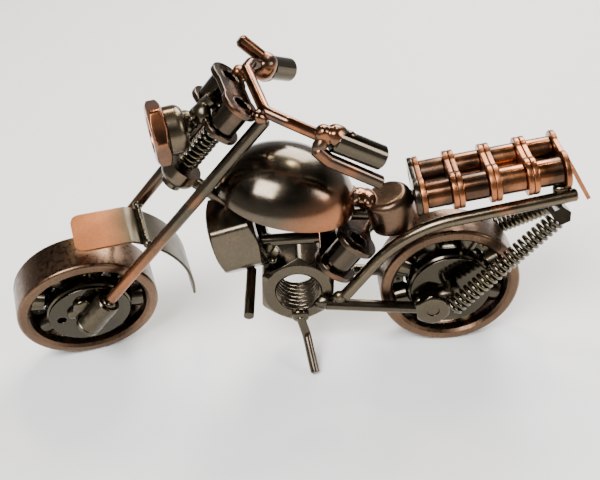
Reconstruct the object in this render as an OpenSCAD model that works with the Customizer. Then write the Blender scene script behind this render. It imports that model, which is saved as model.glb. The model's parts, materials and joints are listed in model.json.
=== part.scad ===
// Desk model of a chopper motorcycle, welded up from workshop hardware: two ball bearings are
// the wheels, roller-chain links are the luggage rack, the fork clamp and the cylinder, hex nuts
// are the engine and the headlamp, and bent round bar is the frame.
// The front of the model faces -X, its left side faces -Y and it stands on z = 0.

/* [Wheels] */
// Distance between the two axles
wheelbase = 124; // [112:1:150]
// Outside diameter of the bearings used as wheels
race_od = 47; // [42:0.5:58]
// Width of the bearings
race_w = 14; // [12:0.5:17]
// Bore of the bearings
race_bore = 20; // [16:0.5:22]
// Diameter of the balls
ball_d = 7.94; // [6.35:0.01:9.53]
// Diameter of the circle through the ball centres
ball_pitch_d = 33.5; // [32:0.1:36]
// Number of balls in each bearing
ball_count = 8; // [6:1:9]
// Rounding of the tread edges
race_edge_r = 1.3; // [0.6:0.1:1.8]
// Diameter of the cover plates welded over the inner races
hub_plate_d = 27; // [24:0.5:28]
// Thickness of the cover plates
hub_plate_t = 1; // [0.8:0.1:1.5]
// Diameter of the axle bolts
axle_d = 6; // [4:0.5:8]

/* [Fork] */
// Angle of the fork from the vertical
rake = 42; // [35:1:45]
// Angle that the fork is turned to the left at rest
steer = 21; // [0:1:25]
// Distance from the steering axis back to the plane of the fork legs
fork_offset = 3; // [2:0.5:5]
// Length of the fork legs above the axle
fork_leg_l = 96; // [92:1:108]
// Diameter of the bar that the fork legs are made of
fork_leg_d = 4; // [3:0.1:5]
// Gap between the front wheel's cover plate and each fork leg (mm)
fork_leg_gap = 1; // [0.6:0.1:3]
// Diameter of the steering stem
stem_d = 3.6; // [3:0.1:5]
// Radial clearance of the stem in the head cup
stem_clearance = 0.05; // [0.02:0.01:0.1]
// Outside diameter of the head cup
head_cup_d = 11.6; // [9:0.1:13]
// Height of the head cup along the steering axis
head_cup_h = 6; // [4:0.5:8]
// Outside diameter of the steering spring
stem_spring_d = 6.6; // [6:0.1:9]
// Diameter of the bar that the handlebar is bent from
bar_d = 3.5; // [2.5:0.1:4.5]
// Diameter of the hand grips
grip_d = 7.6; // [5:0.1:9]
// Diameter of the levers
lever_d = 4.2; // [2.5:0.1:5]

/* [Front fender] */
// Gap between the tread and the fender
fender_gap = 12.1; // [8:0.1:15]
// Width of the fender
fender_w = 16; // [14:0.5:19]
// Thickness of the fender sheet
fender_t = 0.9; // [0.6:0.1:1.5]
// Length of the flat front of the fender
fender_flat_l = 17.5; // [12:0.5:22]

/* [Headlamp] */
// Width across flats of the headlamp nut
lamp_af = 17.5; // [16:0.5:21]
// Thickness of the headlamp nut
lamp_t = 4.6; // [4:0.1:7]
// Diameter of the round cap behind the headlamp nut
lamp_bowl_d = 14.5; // [11:0.5:16]

/* [Engine] */
// Width across flats of the two engine nuts
nut_af = 24; // [22:0.5:28]
// Thickness of the two engine nuts
nut_t = 14.8; // [12:0.1:16]
// Outside diameter of the thread that fits the nuts
thread_d = 16; // [12:0.5:18]
// Inside diameter of the thread in the nuts
thread_minor_d = 13.84; // [10:0.01:15.5]
// Diameter of the upper bar beside the engine
upper_bar_d = 4; // [3:0.5:5]

/* [Tank and seat] */
// Length of the tank
tank_l = 44.6; // [38:0.2:46]
// Width of the tank
tank_w = 38; // [32:0.5:42]
// Height of the tank dome above its rim
tank_h = 17.1; // [14:0.1:21]
// Thickness of the tank sheet
tank_t = 1.2; // [0.8:0.1:2]
// Angle that the tank slopes down towards the seat
tank_pitch = 15.3; // [8:0.1:18]
// Diameter of the seat cap
seat_d = 15.6; // [12:0.1:15.8]
// Height of the seat cap
seat_h = 12; // [9:0.5:14]
// Angle that the seat cap leans forwards
seat_lean = 17; // [5:1:22]

/* [Frame bars] */
// Diameter of the bar that the frame is made of
frame_bar_d = 4; // [3:0.1:5]
// Distance from the mid-plane to each rail and swing arm
rail_y = 10; // [9.9:0.1:12]
// Radius of the bend in the rails
rail_bend_r = 40; // [25:1:45]
// Gap between the tread and the bend of the rails
rail_gap = 6.7; // [6:0.1:10]

/* [Rear springs] */
// Outside diameter of the rear springs
spring_d = 6.4; // [5:0.1:7.5]
// Diameter of the spring wire
spring_wire_d = 1.4; // [0.8:0.1:1.6]
// Number of turns in each rear spring
spring_turns = 23; // [12:1:24]

/* [Rack and clamp chain links] */
// Pitch of the small chain
link_pitch = 12.7; // [11:0.1:15.3]
// Roller diameter of the small chain
link_roller_d = 8.51; // [7:0.01:9.5]
// Width between the plates of the small chain
link_inner_w = 7.85; // [6.5:0.01:9.5]
// Height of the small chain's plates
link_plate_h = 11.8; // [10:0.1:13]
// Thickness of the small chain's plates
link_plate_t = 1.7; // [1.3:0.1:2]
// Outside diameter of the small chain's bushes
link_bush_d = 6; // [5:0.1:6.5]
// Bore of the small chain's bushes
link_bush_bore = 4.5; // [3.5:0.1:4.6]
// Gap between the rack's links
rack_link_gap = 0.06; // [0.02:0.01:0.5]
// Angle that the rack slopes up towards the tail
rack_slope = 8.4; // [0:0.1:12]

/* [Cylinder chain link] */
// Pitch of the large chain
cyl_pitch = 15.88; // [13:0.01:18]
// Roller diameter of the large chain
cyl_roller_d = 10.16; // [8:0.01:11]
// Width between the plates of the large chain
cyl_inner_w = 9.53; // [8:0.01:11]
// Height of the large chain's plates
cyl_plate_h = 14.7; // [12.5:0.1:15.5]
// Thickness of the large chain's plates
cyl_plate_t = 2; // [1.5:0.1:2.5]
// Outside diameter of the large chain's bushes
cyl_bush_d = 7.1; // [6:0.1:7.5]
// Bore of the large chain's bushes
cyl_bush_bore = 5.1; // [4:0.1:5.5]

/* [Stand] */
// Diameter of the kickstand bar
stand_d = 3.1; // [2.5:0.1:4]
// Distance from the mid-plane to the kickstand's foot
stand_y = 20; // [17:0.5:26]
// Diameter of the foot peg
peg_d = 3.3; // [2.5:0.1:4]

/* [Hidden] */
$fn = 48;

copper = [0.62, 0.36, 0.24];
dark_metal = [0.28, 0.26, 0.22];

// ---- bearing sizes ----
wheel_r = race_od / 2;
ball_r = ball_d / 2;
pitch_r = ball_pitch_d / 2;
ball_clearance = 0.05;
groove_r = ball_r + ball_clearance;
shoulder_gap = 2.75;
outer_shoulder_r = pitch_r + shoulder_gap;
inner_shoulder_r = pitch_r - shoulder_gap;
cage_half_w = 0.85;
cage_skin = 0.5;
face_y = race_w / 2;
hub_outer_y = face_y + hub_plate_t;
fork_leg_y = hub_outer_y + fork_leg_gap + fork_leg_d / 2;

// ---- where the axles and the steering axis are ----
axle_dir = [-cos(rake) * sin(steer), cos(steer), sin(rake) * sin(steer)];
tread_half_w = race_w / 2 - race_edge_r;
front_axle_z = (wheel_r - race_edge_r) * sqrt(1 - pow(axle_dir.z, 2))
    + tread_half_w * abs(axle_dir.z) + race_edge_r;
rear_axle_pos = [wheelbase / 2, 0, wheel_r];
steer_pos = [
    -wheelbase / 2 - fork_offset * cos(steer) * cos(rake),
    0,
    front_axle_z + fork_offset * cos(steer) * sin(rake)
];
fork_dir = [sin(rake), 0, cos(rake)];
function on_steering_axis(height) = steer_pos + height * fork_dir;

// Where a point of the fork's own frame is in the bike's frame.
function fork_point(p) =
    let (
        x = (p.x + fork_offset) * cos(steer) - p.y * sin(steer),
        y = (p.x + fork_offset) * sin(steer) + p.y * cos(steer)
    )
    steer_pos + [x * cos(rake) + p.z * sin(rake), y, -x * sin(rake) + p.z * cos(rake)];

// ---- heights along the fork ----
clamp_w = link_inner_w + 2 * link_plate_t;
clamp_z = fork_leg_l - 0.8 - clamp_w / 2;
clamp_gap = 0.09;
clamp_x = -sqrt(
    pow(link_plate_h / 2 + fork_leg_d / 2 + clamp_gap, 2) - pow(fork_leg_y - link_pitch / 2, 2)
);
head_cup_z = 58.5;
stem_gap = 0.3;
stem_spring_z = head_cup_z + head_cup_h + stem_gap;
stem_head_h = 1.6;
stem_head_d = stem_d + 3;
stem_wire_d = 1.1;

// ---- handlebar, in the fork's own frame; each side was bent by hand ----
bar_z = fork_leg_l + bar_d / 2;
bar_left = [[-1, -10, bar_z], [3.5, -15, bar_z + 2.6], [15.2, -21, bar_z + 6]];
bar_right = [[-1, 10, bar_z], [2.2, 14.5, bar_z + 0.6], [10.6, 18, bar_z + 0.3]];
grip_left = [[15.2, -21, bar_z + 6.9], [31.5, -24.6, bar_z + 9.7]];
grip_right = [[10.6, 18, bar_z + 0.3], [20.7, 22, bar_z + 1]];
lever_left = [[12, -21.8, bar_z + 2], [17, -23.6, bar_z + 1.4], [35, -28, bar_z + 4]];
lever_right = [[7.4, 18.4, bar_z + 2], [-1.2, 22.5, bar_z + 2.2]];

// ---- headlamp and front fender, in the fork's own frame ----
lamp_pos = [-19.5, 0, 70.2];
fender_r = wheel_r + fender_gap;
fender_from = 98.5;
fender_to = 35.5;

// ---- frame stations, all from the rear axle's height ----
engine_pos = [10.8, 0, wheel_r + 2.9];
engine_turn = -4;
front_nut_pos = [-7, 0, wheel_r + 24];
front_nut_slope = 14;
front_nut_roll = 20;
tank_pos = [9.06, 0, wheel_r + 36.9];
cylinder_slope = 53;
arm_root = [20, 0, wheel_r - 1.2];
rail_root = [26.2, 0, wheel_r + 2.4];
rail_knee_turn = 120.2;
rail_knee = rear_axle_pos + (wheel_r + rail_gap + frame_bar_d / 2)
    * [cos(rail_knee_turn), 0, sin(rail_knee_turn)];
rail_tail_slope = 10;
rail_tail_dir = [cos(rail_tail_slope), 0, sin(rail_tail_slope)];
cylinder_rise = 19;
cylinder_pos = [
    rail_root.x + (wheel_r + cylinder_rise - rail_root.z)
        * (rail_knee.x - rail_root.x) / (rail_knee.z - rail_root.z) - 12.107,
    0,
    wheel_r + cylinder_rise
];
rack_links = 4;
rack_dir = [cos(rack_slope), 0, sin(rack_slope)];
rack_first_x = rear_axle_pos.x - 5.7;
rack_first = [
    rack_first_x,
    0,
    rail_knee.z + (rack_first_x - rail_knee.x) * tan(rail_tail_slope)
        + link_plate_h / 2 + frame_bar_d / 2 + 0.818
];
rack_step = clamp_w + rack_link_gap;
seat_top = rack_first + [-15.65, 0, -2.8];
seat_axis = [-sin(seat_lean), 0, cos(seat_lean)];
rack_back_x = rack_first.x + (rack_links - 0.5) * rack_step * rack_dir.x;
rail_tail_l = (rack_back_x + 2.832 - rail_knee.x) / cos(rail_tail_slope);
rail_end = rail_knee + rail_tail_l * rail_tail_dir;
lug_pos = rear_axle_pos + [-6.5, 0, -4.8];
lug_af = 11;
lug_t = 4.6;
rear_bolt_y = hub_outer_y + 2;
lug_outer_y = hub_outer_y + lug_t;
spring_foot_y = rear_bolt_y + spring_d / 2 - 0.15;
spring_foot_left = [rear_axle_pos.x - 1.8, -lug_outer_y - spring_d / 2 - 0.12, wheel_r - 1.7];
spring_foot_right = rear_axle_pos + [2.8, spring_foot_y, 3.6];
crossbar_pos = rail_end - 2.5 * rail_tail_dir;
tail_block_d = 5;
tail_block_left = side(rail_end + [-3.9, 0, -6.8], -11.5);
tail_block_right = side(rail_end + [1, 0, -17.4], 11.5);
function tail_block_at(y) =
    tail_block_left + (y - tail_block_left.y) / (tail_block_right.y - tail_block_left.y)
        * (tail_block_right - tail_block_left);

// ---- the box of the whole model, which sets where the origin is ----
front_x = -wheelbase / 2 - (wheel_r - race_edge_r) * sqrt(1 - pow(axle_dir.x, 2))
    - tread_half_w * abs(axle_dir.x) - race_edge_r;
tail_x = rail_end.x + 4.5;
peg_l = 19;
peg_root_y = -4.2;
left_y = peg_root_y - peg_l - disc_reach([0, 0, 0], [-1, -peg_l, -3.4], peg_d);
right_y = fork_point(grip_right[1]).y
    + disc_reach(fork_point(grip_right[0]), fork_point(grip_right[1]), grip_d);
origin_shift = [-(front_x + tail_x) / 2, -(left_y + right_y) / 2, 0];

// ---- helpers ----
function unit(v) = v / norm(v);
function side(pos, y) = [pos.x, y, pos.z];
function disc_reach(a, b, d) = d / 2 * sqrt(1 - pow(unit(b - a).y, 2));
function bend_angle(p, i) = acos(unit(p[i] - p[i - 1]) * unit(p[i + 1] - p[i]));
function cutback(p, i, r) =
    (i == 0 || i == len(p) - 1) ? 0 : r * tan(bend_angle(p, i) / 2);

module bike() {
    translate(origin_shift) children();
}

// The fork's own frame: its origin is the front axle's centre, +Z runs up the legs and +Y along
// the axle.
module fork() {
    bike() translate(steer_pos) rotate([0, rake, 0]) rotate([0, 0, steer])
        translate([fork_offset, 0, 0]) children();
}

module rear_hub() {
    bike() translate(rear_axle_pos) children();
}

module basis(ex, ey, ez, at) {
    multmatrix([
        [ex.x, ey.x, ez.x, at.x],
        [ex.y, ey.y, ez.y, at.y],
        [ex.z, ey.z, ez.z, at.z],
        [0, 0, 0, 1]
    ]) children();
}

// Turns the local +Z axis to a direction, with local +Y kept level.
module along(at, dir) {
    d = unit(dir);
    level = abs(d.z) > 0.999 ? [0, 1, 0] : unit(cross([0, 0, 1], d));
    basis(cross(level, d), level, d, at) children();
}

module rod(a, b, d) {
    along(a, b - a) cylinder(d = d, h = norm(b - a));
}

// The centre line of a bar through the points, bent to radius r at each inner point.
function bend_arc(p, i, r) =
    let (
        u = unit(p[i] - p[i - 1]),
        v = unit(p[i + 1] - p[i]),
        inwards = unit(v - u * (u * v)),
        middle = p[i] - u * cutback(p, i, r) + r * inwards,
        turn = bend_angle(p, i),
        steps = ceil(turn / 6)
    )
    [for (k = [0 : steps]) middle + r * (sin(turn * k / steps) * u - cos(turn * k / steps) * inwards)];
function bent_line(p, r) = concat(
    [p[0]],
    len(p) > 2 ? [for (i = [1 : len(p) - 2]) each bend_arc(p, i, r)] : [],
    [p[len(p) - 1]]
);
function tangent_at(c, i) = unit(c[min(i + 1, len(c) - 1)] - c[max(i - 1, 0)]);

// A round bar bent along a centre line. No part of the line may run along ref.
module bent_rod(p, r, d, ref) {
    sides = 16;
    c = bent_line(p, r);
    n = len(c) - 1;
    points = [for (i = [0 : n])
        let (t = tangent_at(c, i), e = unit(cross(ref, t)), f = cross(t, e))
        for (k = [0 : sides - 1])
            c[i] + d / 2 * (cos(360 * k / sides) * e + sin(360 * k / sides) * f)];
    walls = [for (i = [0 : n - 1], k = [0 : sides - 1])
        let (a = i * sides + k, b = i * sides + (k + 1) % sides)
        each [[a, a + sides, b], [b, a + sides, b + sides]]];
    caps = [
        [for (k = [0 : sides - 1]) k],
        [for (k = [sides - 1 : -1 : 0]) n * sides + k]
    ];
    polyhedron(points, concat(walls, caps), convexity = 6);
}

module ball_ring(r) {
    for (i = [0 : ball_count - 1])
        rotate([0, 0, (i + 0.5) * 360 / ball_count]) translate([pitch_r, 0, 0]) sphere(r = r);
}

// Bearing parts have their axis along +Z here and are turned to +Y by bearing_axis().
module bearing_axis() {
    rotate([-90, 0, 0]) children();
}

module outer_race() {
    r = race_edge_r;
    rotate_extrude($fn = 96) difference() {
        union() {
            translate([outer_shoulder_r, -face_y]) square([wheel_r - r - outer_shoulder_r, race_w]);
            translate([outer_shoulder_r, r - face_y]) square([wheel_r - outer_shoulder_r, race_w - 2 * r]);
            for (s = [-1, 1]) translate([wheel_r - r, s * (face_y - r)]) circle(r = r);
        }
        translate([pitch_r, 0]) circle(r = groove_r);
    }
}

module inner_race() {
    rotate_extrude($fn = 96) difference() {
        translate([race_bore / 2, -face_y]) square([inner_shoulder_r - race_bore / 2, race_w]);
        translate([pitch_r, 0]) circle(r = groove_r);
    }
}

module balls() {
    ball_ring(ball_r);
}

// A pressed ribbon cage: thin webs between the balls and a band round each ball.
module cage_pockets(r) {
    for (i = [0 : ball_count - 1])
        rotate([0, 0, (i + 0.5) * 360 / ball_count]) translate([pitch_r - cage_half_w, 0, 0])
            rotate([0, 90, 0]) cylinder(r = r, h = 2 * cage_half_w);
}

module cage() {
    difference() {
        union() {
            cage_pockets(groove_r + cage_skin);
            rotate_extrude() translate([pitch_r - cage_half_w + 0.1, -cage_skin])
                square([2 * cage_half_w - 0.2, 2 * cage_skin]);
        }
        for (i = [0 : ball_count - 1])
            rotate([0, 0, (i + 0.5) * 360 / ball_count]) translate([pitch_r - 2, 0, 0])
                rotate([0, 90, 0]) cylinder(r = groove_r, h = 4);
    }
}

module hub_plate_pair() {
    pin_hole_r = hub_plate_d / 2 - 4;
    for (s = [-1, 1])
        translate([0, 0, s > 0 ? face_y : -hub_outer_y]) difference() {
            cylinder(d = hub_plate_d, h = hub_plate_t);
            translate([0, 0, -1]) cylinder(d = axle_d, h = hub_plate_t + 2);
            rotate([0, 0, 140]) translate([pin_hole_r, 0, -1])
                cylinder(d = 3, h = hub_plate_t + 2);
        }
}

// ---- chain links: rollers along Z, the pitch along X ----
module link_plate(pitch, plate_h, plate_t, bush_d) {
    waist = 0.74;
    linear_extrude(plate_t) difference() {
        union() {
            for (s = [-1, 1]) translate([s * pitch / 2, 0]) circle(d = plate_h);
            translate([-pitch / 2, -plate_h * waist / 2]) square([pitch, plate_h * waist]);
        }
        for (s = [-1, 1]) translate([s * pitch / 2, 0]) circle(d = bush_d);
    }
}

module link_plates(pitch, inner_w, plate_h, plate_t, bush_d) {
    translate([0, 0, inner_w / 2]) link_plate(pitch, plate_h, plate_t, bush_d);
    translate([0, 0, -inner_w / 2 - plate_t]) link_plate(pitch, plate_h, plate_t, bush_d);
}

module link_rollers(pitch, inner_w, roller_d, bush_d) {
    end_play = 0.05;
    bush_play = 0.1;
    for (s = [-1, 1]) translate([s * pitch / 2, 0, -inner_w / 2 + end_play]) difference() {
        cylinder(d = roller_d, h = inner_w - 2 * end_play);
        translate([0, 0, -1]) cylinder(d = bush_d + bush_play, h = inner_w + 2);
    }
}

module link_bushes(pitch, inner_w, plate_t, bush_d, bush_bore) {
    total = inner_w + 2 * plate_t;
    for (s = [-1, 1]) translate([s * pitch / 2, 0, -total / 2]) difference() {
        cylinder(d = bush_d, h = total);
        translate([0, 0, -1]) cylinder(d = bush_bore, h = total + 2);
    }
}

module rack_link_at(i) {
    bike() translate(rack_first + i * rack_step * rack_dir)
        rotate([0, 90 - rack_slope, 0]) rotate([0, 0, 90]) children();
}

module clamp_frame() {
    fork() translate([clamp_x, 0, clamp_z]) rotate([0, 0, 90]) children();
}

module cylinder_frame() {
    bike() translate(cylinder_pos) rotate([0, 90 - cylinder_slope, 0]) rotate([0, 0, 90]) children();
}

// A hex nut with both ends turned to a 30 degree chamfer, its axis along Z.
module nut_body(af, t, bore_d) {
    corner_r = af / sqrt(3);
    chamfer = (corner_r - af * 0.475) * tan(30);
    difference() {
        intersection() {
            translate([0, 0, -t / 2]) cylinder(r = corner_r, h = t, $fn = 6);
            rotate_extrude() polygon([
                [0, -t / 2], [af * 0.475, -t / 2], [corner_r, chamfer - t / 2],
                [corner_r, t / 2 - chamfer], [af * 0.475, t / 2], [0, t / 2]
            ]);
        }
        translate([0, 0, -t]) cylinder(d = bore_d, h = 2 * t);
    }
}

// A coil spring along +Z from z = 0, swept as a tube with a round section.
module coil(outer_d, wire_d, length, turns, steps, sides) {
    r = (outer_d - wire_d) / 2;
    rise = (length - wire_d) / turns;
    lean = atan(rise / (2 * PI * r));
    n = turns * steps;
    function ring(i) = [for (k = [0 : sides - 1])
        let (
            t = 360 * i / steps,
            q = 360 * k / sides,
            out = wire_d / 2 * cos(q),
            up = wire_d / 2 * sin(q)
        )
        [
            (r + out) * cos(t) + up * sin(lean) * sin(t),
            (r + out) * sin(t) - up * sin(lean) * cos(t),
            wire_d / 2 + rise * i / steps + up * cos(lean)
        ]];
    points = [for (i = [0 : n]) each ring(i)];
    walls = [for (i = [0 : n - 1], k = [0 : sides - 1])
        let (a = i * sides + k, b = i * sides + (k + 1) % sides)
        each [[a, a + sides, b], [b, a + sides, b + sides]]];
    caps = [
        [for (k = [0 : sides - 1]) k],
        [for (k = [sides - 1 : -1 : 0]) n * sides + k]
    ];
    polyhedron(points, concat(walls, caps), convexity = 10);
}

// ---- frame ----
module head_cup() {
    round_r = 2.5;
    r = head_cup_d / 2;
    color(dark_metal) bike() along(on_steering_axis(head_cup_z), fork_dir)
        rotate_extrude() difference() {
            union() {
                translate([0, round_r]) square([r, head_cup_h - round_r]);
                square([r - round_r, head_cup_h]);
                translate([r - round_r, round_r]) circle(r = round_r);
            }
            translate([-1, -1]) square([stem_d / 2 + stem_clearance + 1, head_cup_h + 2]);
        }
}

module down_tube() {
    foot = front_nut_pos + [-1.5, 0, nut_af * 0.44];
    cup_side = on_steering_axis(head_cup_z + head_cup_h / 2)
        + (head_cup_d / 2 - 1) * [cos(rake), 0, -sin(rake)];
    color(dark_metal) bike() rod(foot, cup_side, frame_bar_d);
}

module backbone() {
    front = front_nut_pos + [nut_t / 2 - 2.2, 0, 7.4];
    back = seat_top - (seat_h - 4) * seat_axis - (seat_d / 2 - 0.5) * [1, 0, 0];
    color(dark_metal) bike() rod(front, back, frame_bar_d);
}

module front_nut() {
    color(dark_metal) bike() translate(front_nut_pos) rotate([0, 90 - front_nut_slope, 0])
        rotate([0, 0, 90 + 30 + front_nut_roll]) nut_body(nut_af, nut_t, thread_minor_d);
}

module engine_nut() {
    mouth = (thread_d - thread_minor_d) / 2;
    color(dark_metal) bike() translate(engine_pos) rotate([-90, 0, 0]) difference() {
        rotate([0, 0, -engine_turn]) nut_body(nut_af, nut_t, thread_minor_d);
        for (s = [-1, 1]) translate([0, 0, s * nut_t / 2]) rotate([90 + 90 * s, 0, 0])
            translate([0, 0, -0.01])
                cylinder(d1 = thread_d + 0.3, d2 = thread_minor_d - 0.1, h = mouth);
    }
}

module upper_bar() {
    start = front_nut_pos + [nut_t / 2 - 0.2, -4, -1];
    color(dark_metal) bike() rod(start, [cylinder_pos.x - 8.2, -4, start.z], upper_bar_d);
}

module cylinder_plates() {
    color(copper) cylinder_frame()
        link_plates(cyl_pitch, cyl_inner_w, cyl_plate_h, cyl_plate_t, cyl_bush_d);
}

module cylinder_rollers() {
    color(dark_metal) cylinder_frame()
        link_rollers(cyl_pitch, cyl_inner_w, cyl_roller_d, cyl_bush_d);
}

module cylinder_bushes() {
    color(dark_metal) cylinder_frame()
        link_bushes(cyl_pitch, cyl_inner_w, cyl_plate_t, cyl_bush_d, cyl_bush_bore);
}

module dome(l, w, h) {
    intersection() {
        scale([l / 2, w / 2, h]) sphere(r = 1, $fn = 56);
        translate([-l, -w, 0]) cube([2 * l, 2 * w, 2 * h]);
    }
}

module tank_shell() {
    color(dark_metal) bike() translate(tank_pos) rotate([0, tank_pitch, 0]) difference() {
        dome(tank_l, tank_w, tank_h);
        translate([0, 0, -0.01])
            dome(tank_l - 2 * tank_t, tank_w - 2 * tank_t, tank_h - tank_t);
    }
}

module tank_post() {
    foot = [tank_pos.x, 0, front_nut_pos.z + 6];
    top = tank_pos + (tank_h - tank_t - 0.3) * [sin(tank_pitch), 0, cos(tank_pitch)];
    color(dark_metal) bike() rod(foot, top, frame_bar_d);
}

module seat_cap() {
    round_r = 2.6;
    r = seat_d / 2;
    color(copper) bike() along(seat_top - seat_h * seat_axis, seat_axis)
        rotate_extrude() union() {
            square([r, seat_h - round_r]);
            square([r - round_r, seat_h]);
            translate([r - round_r, seat_h - round_r]) circle(r = round_r);
        }
}

module seat_neck() {
    tank_end = tank_pos + (tank_l / 2 - 1.5) * [cos(tank_pitch), 0, -sin(tank_pitch)] + [0, 0, 4.6];
    seat_side = seat_top - 1.2 * seat_axis - (seat_d / 2 - 1) * [cos(seat_lean), 0, sin(seat_lean)];
    color(copper) bike() rod(tank_end, seat_side, frame_bar_d + 1);
}

module rail(y) {
    bent_rod([side(rail_root, y), side(rail_knee, y), side(rail_end, y)], rail_bend_r, frame_bar_d, [0, 1, 0]);
}

module rail_left() {
    color(dark_metal) bike() rail(-rail_y);
}

module rail_right() {
    color(dark_metal) bike() rail(rail_y);
}

module swing_arm(s) {
    root_y = nut_t / 2 + frame_bar_d / 2 - 0.1;
    rod(
        side(arm_root, s * root_y),
        side(lug_pos + [-lug_af / 2 + 0.2, 0, 0], s * (hub_outer_y + frame_bar_d / 2)),
        frame_bar_d
    );
}

module swing_arm_left() {
    color(dark_metal) bike() swing_arm(-1);
}

module swing_arm_right() {
    color(dark_metal) bike() swing_arm(1);
}

module axle_bolt(half_l) {
    translate([0, 0, -half_l]) cylinder(d = axle_d, h = 2 * half_l);
}

module rear_axle() {
    color(dark_metal) rear_hub() bearing_axis() axle_bolt(rear_bolt_y);
}

module rear_hub_plates() {
    color(dark_metal) rear_hub() bearing_axis() hub_plate_pair();
}

module rear_hub_lugs() {
    color(dark_metal) bike() for (s = [-1, 1])
        translate(side(lug_pos, s * (hub_outer_y + lug_t / 2))) rotate([90, 0, 0])
            rotate([0, 0, 8]) cylinder(r = lug_af / sqrt(3), h = lug_t, center = true, $fn = 6);
}

module rear_inner_race() {
    color(dark_metal) rear_hub() bearing_axis() inner_race();
}

module rear_spring(foot, end) {
    reach = unit(end - foot);
    top = end - (tail_block_d / 2 - 0.65) * reach;
    color(dark_metal) bike() along(foot, reach)
        coil(spring_d, spring_wire_d, norm(top - foot), spring_turns, 12, 6);
}

module spring_left() {
    rear_spring(spring_foot_left, tail_block_at(-9.45));
}

module spring_right() {
    rear_spring(spring_foot_right, tail_block_at(9.45));
}

module tail_bars() {
    half = rail_y - frame_bar_d / 2;
    middle = (tail_block_left + tail_block_right) / 2;
    start = crossbar_pos - [0, 0, frame_bar_d / 2];
    color(dark_metal) bike() {
        rod(side(crossbar_pos, -half), side(crossbar_pos, half), frame_bar_d);
        rod(start, middle + tail_block_d / 2 * unit(start - middle), frame_bar_d - 0.5);
    }
}

module tail_block() {
    run = tail_block_right - tail_block_left;
    color(dark_metal) bike() along(tail_block_left, run)
        cylinder(d = tail_block_d * 1.12, h = norm(run), $fn = 6);
}

module tail_plate() {
    foot = rail_end + [4, -6, -2];
    head = foot + [-6.7, 0, 11.5];
    color(copper) bike() along(foot, head - foot) translate([-0.6, -4, 0])
        cube([1.2, 8, norm(head - foot)]);
}

module rack_plates(i) {
    color(copper) rack_link_at(i)
        link_plates(link_pitch, link_inner_w, link_plate_h, link_plate_t, link_bush_d);
}

module rack_plates_1() {
    rack_plates(0);
}

module rack_plates_2() {
    rack_plates(1);
}

module rack_plates_3() {
    rack_plates(2);
}

module rack_plates_4() {
    rack_plates(3);
}

module rack_rollers() {
    color(copper) for (i = [0 : rack_links - 1]) rack_link_at(i)
        link_rollers(link_pitch, link_inner_w, link_roller_d, link_bush_d);
}

module rack_bushes() {
    color(dark_metal) for (i = [0 : rack_links - 1]) rack_link_at(i)
        link_bushes(link_pitch, link_inner_w, link_plate_t, link_bush_d, link_bush_bore);
}

module rack_end_plate() {
    color(dark_metal) rack_link_at(0)
        translate([0, 0, -link_inner_w / 2 - 2 * link_plate_t - rack_link_gap])
            link_plate(link_pitch, link_plate_h, link_plate_t, link_bush_bore);
}

module kickstand() {
    r = stand_d / 2;
    lean = unit([0.16, -0.72, -0.68]);
    root = engine_pos + [0, -nut_t / 2 - r + 0.2, -nut_af * 0.38];
    foot = [root.x + 4, -stand_y, r * sqrt(1 - pow(lean.z, 2))];
    knee = foot - (stand_y + root.y - 1.5) / abs(lean.y) * lean;
    color(dark_metal) bike() bent_rod([root, knee, foot], 5, stand_d, [1, 0, 0]);
}

module foot_peg() {
    root = front_nut_pos + [3, peg_root_y, -nut_af * 0.5 - 0.6];
    color(dark_metal) bike() rod(root, root + [-1, -peg_l, -3.4], peg_d);
}

// ---- fork ----
module fork_leg(s) {
    fork() translate([0, s * fork_leg_y, -2]) cylinder(d = fork_leg_d, h = fork_leg_l + 2);
}

module fork_leg_left() {
    color(copper) fork_leg(-1);
}

module fork_leg_right() {
    color(copper) fork_leg(1);
}

module clamp_plates() {
    color(dark_metal) clamp_frame()
        link_plates(link_pitch, link_inner_w, link_plate_h, link_plate_t, link_bush_d);
}

module clamp_rollers() {
    color(dark_metal) clamp_frame()
        link_rollers(link_pitch, link_inner_w, link_roller_d, link_bush_d);
}

module clamp_bushes() {
    color(dark_metal) clamp_frame()
        link_bushes(link_pitch, link_inner_w, link_plate_t, link_bush_d, link_bush_bore);
}

module steering_stem() {
    stem_top = clamp_z - clamp_w / 2;
    foot = head_cup_z - stem_gap - stem_head_h;
    color(dark_metal) fork() translate([-fork_offset, 0, 0]) {
        translate([0, 0, foot]) cylinder(d = stem_d, h = stem_top - foot);
        translate([0, 0, foot]) cylinder(d = stem_head_d, h = stem_head_h);
    }
}

module steering_spring() {
    room = clamp_z - clamp_w / 2 - stem_spring_z - 0.02;
    color(dark_metal) fork() translate([-fork_offset, 0, stem_spring_z])
        coil(stem_spring_d, stem_wire_d, room, 10, 12, 6);
}

module handlebar() {
    path = [bar_left[2], bar_left[1], bar_left[0], bar_right[0], bar_right[1], bar_right[2]];
    color(copper) fork() bent_rod(path, 3, bar_d, [0, 0, 1]);
}

module grips() {
    color(dark_metal) fork() {
        rod(grip_left[0], grip_left[1], grip_d);
        rod(grip_right[0], grip_right[1], grip_d);
    }
}

module levers() {
    color(copper) fork() {
        bent_rod(lever_left, 3, lever_d, [0, 0, 1]);
        rod(lever_right[0], lever_right[1], lever_d);
    }
}

module lamp_frame() {
    fork() translate(lamp_pos) rotate([0, -rake - 90, 0]) children();
}

module headlamp_nut() {
    color(copper) lamp_frame() rotate([0, 0, 21]) translate([0, 0, -lamp_t / 2])
        nut_body(lamp_af, lamp_t, lamp_af * 0.62);
}

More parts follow.
